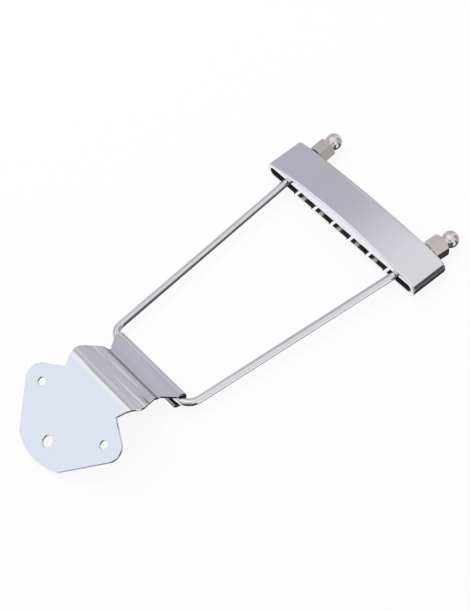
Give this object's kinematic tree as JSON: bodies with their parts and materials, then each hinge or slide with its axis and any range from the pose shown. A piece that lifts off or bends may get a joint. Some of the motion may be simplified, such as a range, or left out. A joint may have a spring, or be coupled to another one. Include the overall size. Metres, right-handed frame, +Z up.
{
  "type": "trapeze tailpiece",
  "caption": "Guitar trapeze tailpiece: hollow crowned string bar on a bent wire frame, which swings in the curled hook of a stepped sheet bracket; acorn nuts hold the bar.",
  "frame": {"origin": "on the surface that the part lies on, at the middle of its length and width", "axes": "+Y from the tail bracket towards the string bar, +X across the strings, +Z up from the surface"},
  "size_m": [0.0852, 0.1818, 0.0174],
  "materials": {
    "bar_chrome": "smooth chrome plate",
    "wire_chrome": "drawn rod, chrome plate",
    "nut_nickel": "turned, warm bright nickel plate",
    "bracket_chrome": "pressed sheet, chrome plate"
  },
  "bodies": {
    "bracket": {"tail_bracket": "bracket_chrome"},
    "frame": {"string_bar": "bar_chrome", "wire_frame": "wire_chrome"},
    "left_nut": {"left_nut": "nut_nickel"},
    "right_nut": {"right_nut": "nut_nickel"}
  },
  "joints": [
    {"name": "frame_swing", "type": "hinge", "parent": "bracket", "child": "frame", "pos_m": [0, -0.03608, 0.0034], "axis": [1, 0, 0], "range_deg": [-150, 150]},
    {"name": "left_nut_turn", "type": "hinge", "parent": "frame", "child": "left_nut", "pos_m": [-0.03295, 0.07742, 0.00461], "axis": [-0.0889, 0.996, 0.0106], "continuous": true},
    {"name": "right_nut_turn", "type": "hinge", "parent": "frame", "child": "right_nut", "pos_m": [0.03295, 0.07742, 0.00461], "axis": [0.0889, 0.996, 0.0106], "continuous": true}
  ]
}
